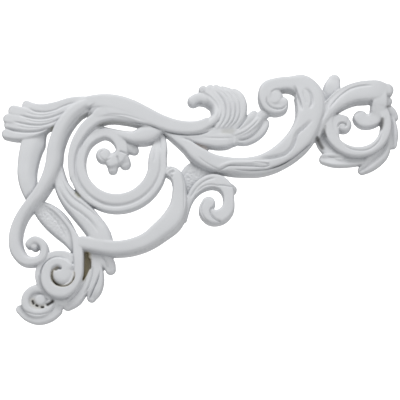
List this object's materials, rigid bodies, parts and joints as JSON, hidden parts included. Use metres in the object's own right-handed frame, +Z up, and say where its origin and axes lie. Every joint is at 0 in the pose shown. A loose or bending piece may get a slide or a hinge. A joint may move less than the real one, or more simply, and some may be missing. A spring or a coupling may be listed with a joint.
{
  "type": "decorative onlay",
  "caption": "Pierced white scroll-and-leaf onlay with a flat back: a long arched stem, shells, curling volutes, an open ring at the left and a roundel at the right end.",
  "frame": {"origin": "on the flat back face, behind the main S-shaped stem near the middle of the length", "axes": "+Z up and +X to the right as the picture shows the front, +Y out of the flat back, so the front faces -Y"},
  "size_m": [0.406, 0.0205, 0.2579],
  "materials": {
    "primer": "white primer on a cast resin body, satin to matt, with faint brown staining in the deep hollows"
  },
  "bodies": {
    "root": {"scroll_onlay": "primer"}
  },
  "joints": []
}
